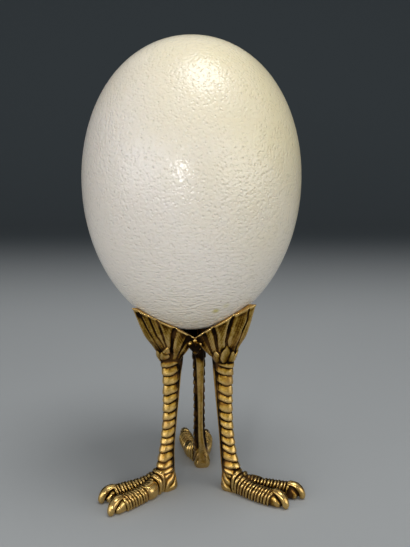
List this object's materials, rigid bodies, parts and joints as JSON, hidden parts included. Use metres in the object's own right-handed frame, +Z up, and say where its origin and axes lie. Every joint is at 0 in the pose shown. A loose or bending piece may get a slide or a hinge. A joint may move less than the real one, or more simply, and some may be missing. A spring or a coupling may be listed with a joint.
{
  "type": "ostrich egg on stand",
  "caption": "Ostrich egg standing blunt end up in a gilt brass tripod stand of cast ostrich legs with feather-fluted tops, scaled shanks and clawed feet.",
  "frame": {"origin": "on the ground in the middle of the whole object's footprint", "axes": "+Z up the egg, +X to the object's right as seen from the front, +Y to the back, where one leg stands"},
  "size_m": [0.1226, 0.1217, 0.2508],
  "materials": {
    "eggshell": "satin, finely wrinkled",
    "gilt_brass": "antique, dark in the recesses and rubbed bright on the ridges"
  },
  "bodies": {
    "root": {"egg": "eggshell", "leg_left": "gilt_brass", "leg_right": "gilt_brass", "leg_rear": "gilt_brass"}
  },
  "joints": []
}
